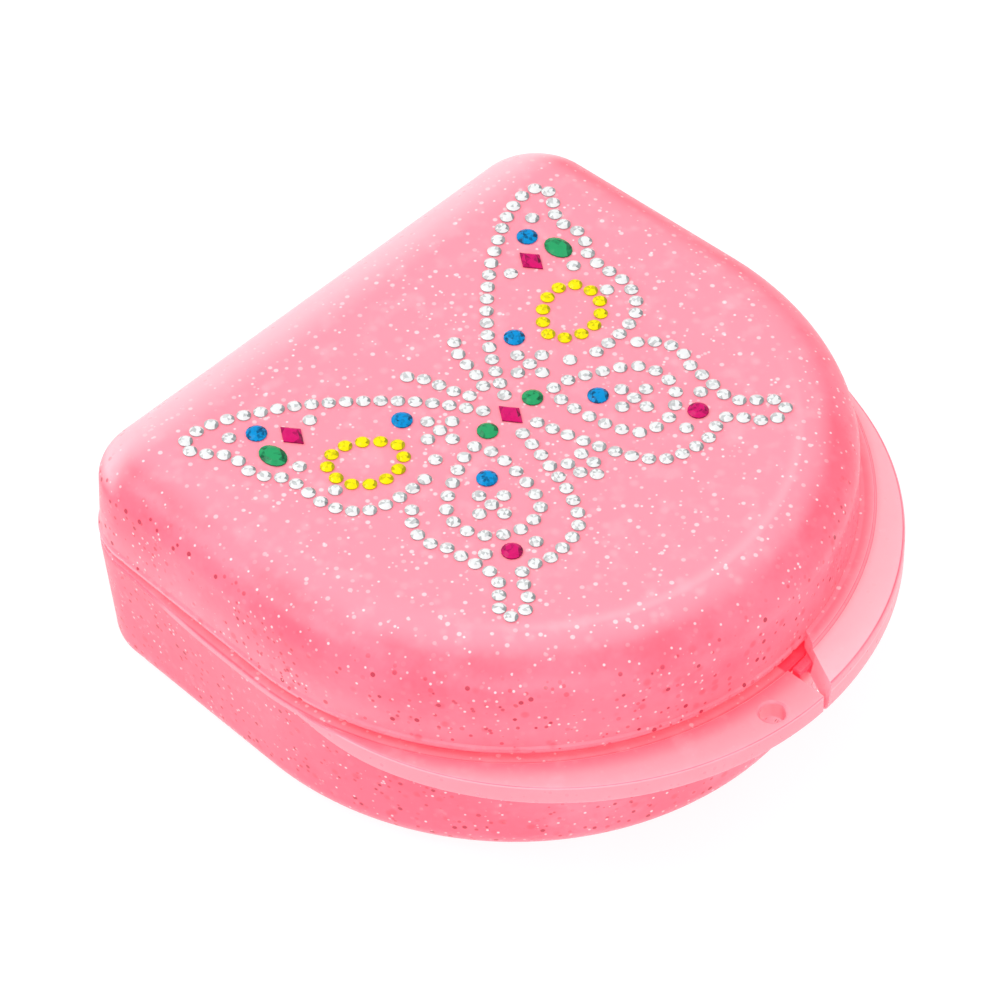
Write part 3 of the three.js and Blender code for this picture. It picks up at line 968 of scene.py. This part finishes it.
clearStone = {"radius": 0.92, "height": 0.42}
colouredStone = {"radius": 1.35, "height": 0.55, "sides": 8, "stretch": 1.0}
squareStone = {"radius": 1.5, "sides": 4, "stretch": 1.37}
ovalStone = {"radius": 1.5, "stretch": 1.35}
stoneCut = {"table": 0.62, "tableHeight": 0.96, "girdle": 0.3}
# painted reflections: how bright the facets are painted, from and to
paintedFacetLights = {
    "dark": (0.25, 0.42),
    "mark": (0.45, 0.6),
    "bright": (0.82, 1.0),
    "tableMark": (0.5, 0.65),
    "table": (0.88, 1.0),
    "girdle": 0.35,
    "back": 0.4,
}
darkSide = {"faces": -0.75, "wander": 0.35, "from": 0.78, "opposite": -0.5}


def cutStone(work, tones, stone, rng):
    # a low stone: a table of wedges, star and bezel facets, a girdle and a flat back
    # tones remembers how bright each facet is painted, standing in for its reflections
    (x, y), radius, height, sides, stretch = stone
    count = 2 * sides
    step = 2 * math.pi / sides
    turn = 0.0 if sides == 4 else rng.uniform(0, step)
    wander = darkSide["wander"]
    shade = darkSide["faces"] + rng.uniform(-wander, wander)  # the way its darker side faces

    def point(angle, share, z):
        spot = (radius * share * math.cos(angle), radius * share * math.sin(angle) * stretch)
        return work.verts.new(((x + spot[0]) * mm, (y + spot[1]) * mm, (stonePlane + z) * mm))

    def girdlePoint(j, z):
        # a square stone keeps straight sides between its corners
        flatten = math.cos(step / 2) if sides == 4 and j % 2 else 1.0
        return point(turn + step * j / 2, flatten, z)

    def face(corners, tone):
        work.faces.new(corners)
        tones.append(tone)

    def facetLightAt(angle, marks):
        # painted reflections: dark on one side, with a few marks opposite and bright elsewhere
        near = math.cos(angle - shade)
        if near > darkSide["from"]:
            return rng.uniform(*paintedFacetLights["dark"])
        if near < darkSide["opposite"] and rng.random() < marks:
            return rng.uniform(*paintedFacetLights["mark"])
        return rng.uniform(*paintedFacetLights["bright"])

    tableZ = height * stoneCut["tableHeight"]
    tables = [point(turn + step * k, stoneCut["table"], tableZ) for k in range(sides)]
    upper = [girdlePoint(j, height * stoneCut["girdle"]) for j in range(count)]
    lower = [girdlePoint(j, 0.0) for j in range(count)]
    middle = point(0.0, 0.0, height)
    for k in range(sides):
        angle = turn + step * k
        marked = rng.random() < 0.3
        tone = rng.uniform(*paintedFacetLights["tableMark" if marked else "table"])
        face([tables[k], tables[(k + 1) % sides], middle], tone)
        bezel = facetLightAt(angle, 0.6)
        left, right = upper[(2 * k - 1) % count], upper[(2 * k + 1) % count]
        face([tables[k], left, upper[2 * k], right], bezel)
        face([tables[k], upper[2 * k + 1], tables[(k + 1) % sides]], facetLightAt(angle + step / 2, 0.4))
    for j in range(count):
        after = (j + 1) % count
        face([upper[j], lower[j], lower[after], upper[after]], paintedFacetLights["girdle"])
    face(list(reversed(lower)), paintedFacetLights["back"])


def stonePiece(name, stones, node, material, seed):
    # one piece from a list of stones: (centre, radius, height, sides, stretch)
    rng = random.Random(seed)
    work = bmesh.new()
    tones = []
    for stone in stones:
        cutStone(work, tones, stone, rng)
    bmesh.ops.recalc_face_normals(work, faces=work.faces)
    mesh = bpy.data.meshes.new(name)
    work.to_mesh(mesh)
    work.free()
    toneOf = mesh.attributes.new("paintedFacetLight", "FLOAT", "FACE")
    for i, tone in enumerate(tones):
        toneOf.data[i].value = tone
    mesh.materials.append(material)
    piece = makeObject(name, mesh)
    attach(piece, "lid")
    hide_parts(node)
    return piece


curveSteps = 16  # short lines between two given points of a strand


def smallStone(x, y):
    return (x, y), clearStone["radius"], clearStone["height"], 8, 1.0


def strandStones(points, count, side, closed=False):
    # small clear-sized stones evenly spaced along a smooth curve through the points
    size = len(points)
    line = []
    for i in range(size if closed else size - 1):
        p1, p2 = Vector(points[i]), Vector(points[(i + 1) % size])
        p0 = Vector(points[i - 1]) if closed or i else p1 * 2 - p2
        p3 = Vector(points[(i + 2) % size]) if closed or i + 2 < size else p2 * 2 - p1
        line += [smoothPoint(p0, p1, p2, p3, s / curveSteps) for s in range(curveSteps)]
    line.append(Vector(points[0] if closed else points[-1]))
    runs = [0.0]
    for a, b in zip(line, line[1:]):
        runs.append(runs[-1] + (b - a).length)
    last = count if closed else count - 1
    places = []
    for k in range(count):
        goal = runs[-1] * k / last
        i = max(j for j in range(len(runs)) if runs[j] <= goal + 1e-9)
        i = min(i, len(line) - 2)
        share = (goal - runs[i]) / (runs[i + 1] - runs[i])
        at = line[i].lerp(line[i + 1], share)
        places.append(smallStone(side * at.x, at.y))
    return places


def smoothPoint(p0, p1, p2, p3, t):
    # a smooth curve from p1 to p2 that heads for the points before and after
    d0, d1, d2 = (math.sqrt((b - a).length) for a, b in ((p0, p1), (p1, p2), (p2, p3)))
    m1 = ((p1 - p0) / d0 - (p2 - p0) / (d0 + d1) + (p2 - p1) / d1) * d1
    m2 = ((p2 - p1) / d1 - (p3 - p1) / (d1 + d2) + (p3 - p2) / d2) * d1
    return (
        p1 * (2 * t**3 - 3 * t**2 + 1) + m1 * (t**3 - 2 * t**2 + t)
        + p2 * (3 * t**2 - 2 * t**3) + m2 * (t**3 - t**2)
    )


# each strand on the right wing: points in millimetres, how many stones, and whether it closes
strands = {
    "forewing_outline": ([
        (1.9, 7.7), (5.4, 13.3), (9.7, 18.3), (16.2, 24.1), (21.7, 27.7), (26, 29.9), (29.3, 30.7),
        (31.9, 30), (31.6, 28), (29.8, 25.9), (28.9, 24), (29.3, 21.6), (28.6, 19.3), (27, 17),
        (26.8, 13.4), (26.8, 10.8), (26, 8.4), (24.2, 6.2), (21.2, 5), (18.2, 4.7), (15.3, 4.7),
    ], 36, False),
    "hindwing_outline": ([
        (1.3, 1.5), (2.4, -2.7), (4.3, -8.7), (6.2, -12.5), (8.4, -14.6), (11.3, -15.3),
        (13.6, -15.6), (15.6, -15), (17.9, -14.5), (19.4, -16), (20.5, -17.8), (22.1, -19.2),
        (24.2, -19.1), (24.9, -17.6), (23.6, -15.9), (21.7, -14.2), (20.9, -12.2), (21.2, -9.7),
        (21.5, -7.4), (21.7, -5.3), (22.6, -3.3), (22.6, -1.3), (21.7, 0.6), (20.1, 2.2),
    ], 29, False),
    "hindwing_ring": ([
        (7.05, 4.2), (6.2, 1.9), (6.4, -1.5), (7.1, -5), (9, -8.9), (13.3, -9.6), (17.1, -7.1),
        (18.1, -4), (17.2, -0.9), (13.4, 1.8),
    ], 18, True),
    "forewing_leaf": ([
        (13.4, 11.2), (15.2, 8.6), (19.6, 8.4), (22.6, 11.6), (21.6, 15.4), (17.6, 15.6),
    ], 12, True),
    "antenna": ([(4.2, 18.6), (3.1, 16.9), (2.5, 14.9), (2, 12.7), (1.2, 10.7)], 5, False),
}
bodyTail = [(-1.2, -6.1), (-1.2, -8.2), (0, -9.9), (1.2, -8.2), (1.2, -6.1)]
clusterReach = 2.15

# each stone's colour as a lit and a shaded copy, which the facets' painted reflections blend
# between
gems = {
    "clear": {"light": "#f2f5f5", "dark": "#636c70", "mosaic": 0.06, "shine": 0.45},
    "blue": {"light": "#0096dc", "dark": "#01466f", "mosaic": 1.0, "shine": 0.12},
    "green": {"light": "#28a869", "dark": "#08492e", "mosaic": 0.3, "shine": 0.15},
    "magenta": {"light": "#dc1571", "dark": "#58042e", "mosaic": 0.35, "shine": 0.12},
    "yellow": {"light": "#fff000", "dark": "#8f8600", "mosaic": 0.12, "shine": 0.15},
}


def gemMaterial(colour):
    look = gems[colour]
    shade = Shade(f"{colour}Stone")
    tone = shade.node("ShaderNodeAttribute", {"attribute_name": "paintedFacetLight"}, output=2)
    place = shade.place()
    spark = shade.noise(place, 1800.0, 2.0)
    small = shade.axis(shade.cells(place, 2600.0, 1), 0) - 0.5
    share = (tone + small * look["mosaic"] + (spark - 0.5) * 0.2).step(0.0, 0.95)
    return shade.finish(
        {
            "Base Color": shade.blend(share, tint(look["dark"]), tint(look["light"])),
            "Roughness": 0.12 + 0.1 * spark,
            "Normal": shade.bump(small, 0.04, 0.0002),
            "Specular IOR Level": look["shine"],
            "IOR": 1.54,
        }
    )


def centreOf(node):
    low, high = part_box(node)
    return (low[0] + high[0]) / 2 / mm, (low[1] + high[1]) / 2 / mm


def buildStones():
    materials = {colour: gemMaterial(colour) for colour in gems}
    seed = 1
    quarterTurns = (0, math.pi / 2, math.pi, 3 * math.pi / 2)
    around = [(clusterReach * math.cos(a), clusterReach * math.sin(a)) for a in quarterTurns]
    spots = [(0, 0)] + around
    for side, hand in ((-1, "left"), (1, "right")):
        for strand, (points, count, closed) in strands.items():
            colour = "yellow" if strand == "forewing_leaf" else "clear"
            stones = strandStones(points, count, side, closed)
            node = f"{strand}_{hand}"
            stonePiece(f"{node}_stones", stones, node, materials[colour], seed)
            seed += 1
        for wing in ("forewing", "hindwing"):
            node = f"{wing}_cluster_{hand}"
            x, y = centreOf(node)
            stones = [smallStone(x + dx, y + dy) for dx, dy in spots]
            stonePiece(f"{node}_stones", stones, node, materials["clear"], seed)
            seed += 1
    tail = strandStones(bodyTail, 5, 1)
    stonePiece("body_tail_stones", tail, "body_tail", materials["clear"], seed)
    for node in frame["nodes"]:
        colour = node.split("_")[0]
        if colour not in gems:
            continue
        seed += 1
        cut = dict(colouredStone)
        if colour == "clear":
            cut.update(clearStone)
        if "square" in node or node == "magenta_body":
            cut.update(squareStone)
        if "oval" in node:
            cut.update(ovalStone)
        stones = [(centreOf(node), cut["radius"], cut["height"], cut["sides"], cut["stretch"])]
        stonePiece(f"{node}_stone", stones, node, materials[colour], seed)


stage = {
    "distance": 961.5,
    "azimuth": 46.04,
    "elevation": 46.29,
    "lens": 276.9,
    "aim": (0.0, 6.55, seam),
    "lowerBy": 1.75,
    "leftBy": 0.06,
    "farClip": 20,
    "roomColour": (1.0, 0.985, 0.99, 1.0),
    "roomStrength": 0.72,
    "floorRadii": (6000.0, 900.0, 200.0, 60.0),
    "floorZ": -0.02,
    "floorDark": "#7c7c7c",
    "floorLight": "#828282",
    "floorGlow": 0.86,
    "floorSides": 96,
}
# place in metres, width in metres and power in watts
lamps = {
    "keyLamp": ((-0.5, 0.45, 0.75), 0.5, 2.4),
    "fillLamp": ((-0.55, -0.6, 0.5), 0.6, 1.6),
    "topLamp": ((0.1, 0.0, 1.1), 0.8, 1.6),
}


def buildCamera(scene):
    turn, lift = math.radians(stage["azimuth"]), math.radians(stage["elevation"])
    flat = math.cos(lift)
    back = Vector((-math.sin(turn) * flat, -math.cos(turn) * flat, math.sin(lift)))
    right = Vector((math.cos(turn), -math.sin(turn), 0.0))
    up = back.cross(right)
    aim = Vector(stage["aim"]) - up * stage["lowerBy"] - right * stage["leftBy"]
    camera = bpy.data.objects.new("camera", bpy.data.cameras.new("camera"))
    camera.data.lens = stage["lens"]
    camera.data.clip_end = stage["farClip"]
    camera.location = (aim + back * stage["distance"]) * mm
    camera.rotation_euler = back.to_track_quat("Z", "Y").to_euler()
    scene.collection.objects.link(camera)
    scene.camera = camera


def buildFloor():
    # a flat disc of rings that is seen from above only
    turns = circle(stage["floorSides"])
    rings = []
    for radius in stage["floorRadii"]:
        rings.append([(radius * math.cos(a), radius * math.sin(a), stage["floorZ"]) for a in turns])
    floor = fromRings("floor", rings)
    work = bmesh.new()
    work.from_mesh(floor.data)
    big = max(work.faces, key=lambda f: f.calc_area())
    bmesh.ops.delete(work, geom=[big], context="FACES_ONLY")
    for f in work.faces:
        if f.normal.z < 0:
            f.normal_flip()
    work.to_mesh(floor.data)
    work.free()
    shade = Shade("paleFloor")
    mottle = shade.noise(shade.place(), 6.0)
    colour = shade.blend(mottle, tint(stage["floorDark"]), tint(stage["floorLight"]))
    glow = {"Emission Color": tint("#ffffff"), "Emission Strength": stage["floorGlow"]}
    floor.data.materials.append(shade.finish({"Base Color": colour, "Roughness": 0.9, **glow}))


def buildStage():
    scene = bpy.context.scene
    scene.view_settings.view_transform = "Standard"
    buildCamera(scene)
    world = bpy.data.worlds.new("softRoom")
    scene.world = world
    world.use_nodes = True
    room = world.node_tree.nodes["Background"]
    room.inputs["Color"].default_value = stage["roomColour"]
    room.inputs["Strength"].default_value = stage["roomStrength"]
    for name, (place, size, power) in lamps.items():
        lamp(name, place, size, power)
    buildFloor()


def lamp(name, place, size, power):
    data = bpy.data.lights.new(name, "AREA")
    data.size = size
    data.energy = power
    light = bpy.data.objects.new(name, data)
    light.location = place
    light.rotation_euler = Vector(place).to_track_quat("Z", "Y").to_euler()
    bpy.context.scene.collection.objects.link(light)


def dress(piece, material, body, node):
    piece.data.materials.clear()
    piece.data.materials.append(material)
    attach(piece, body)
    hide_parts(node)


guardLooks = {
    "shell": {"colour": "#e3e8ec", "pale": "#f6f8fa"},
    "liner": {"colour": "#e86a92", "pale": "#f58db0"},
}


def guardMaterial(name, look):
    shade = Shade(name)
    place = shade.place()
    cloud = shade.noise(place, 60.0)
    fine = shade.noise(place, 900.0)
    tone = shade.blend(cloud.step(0.35, 0.7), tint(look["colour"]), tint(look["pale"]))
    return shade.finish(
        {
            "Base Color": tone,
            "Roughness": 0.38 + 0.15 * fine,
            "Normal": shade.bump(fine + cloud, 0.08, 0.0004),
            "Subsurface Weight": 0.3,
            "Subsurface Radius": (0.003, 0.003, 0.003),
            "Subsurface Scale": 0.5,
        }
    )


mergeWithin = 1e-6  # metres

buildStage()
print("stage ready")

basePiece = buildBase()
tidyMesh(basePiece.data, mergeWithin)
smooth(basePiece)
dress(basePiece, casePlastic("basePlastic", baseTints), "base", "base_shell")
print("base shell ready")

lidPiece = buildLid()
tidyMesh(lidPiece.data, mergeWithin)
smooth(lidPiece)
dress(lidPiece, casePlastic("lidPlastic", lidTints), "lid", "lid_shell")
print("lid shell ready")

shellPiece = archSweep("guardShell", guardShellSection, 0.0, 1.0, guard["shellEase"])
smooth(shellPiece, guard["smoothAngle"])
shellLook = guardMaterial("guardPlastic", guardLooks["shell"])
dress(shellPiece, shellLook, "mouthguard", "mouthguard_shell")
linerPiece = archSweep("guardLiner", guardLinerSection, *guard["linerSpan"], guard["linerEase"])
smooth(linerPiece, guard["smoothAngle"])
linerLook = guardMaterial("guardGel", guardLooks["liner"])
dress(linerPiece, linerLook, "mouthguard", "mouthguard_liner")
print("mouthguard ready")

buildStones()
print("stones ready")
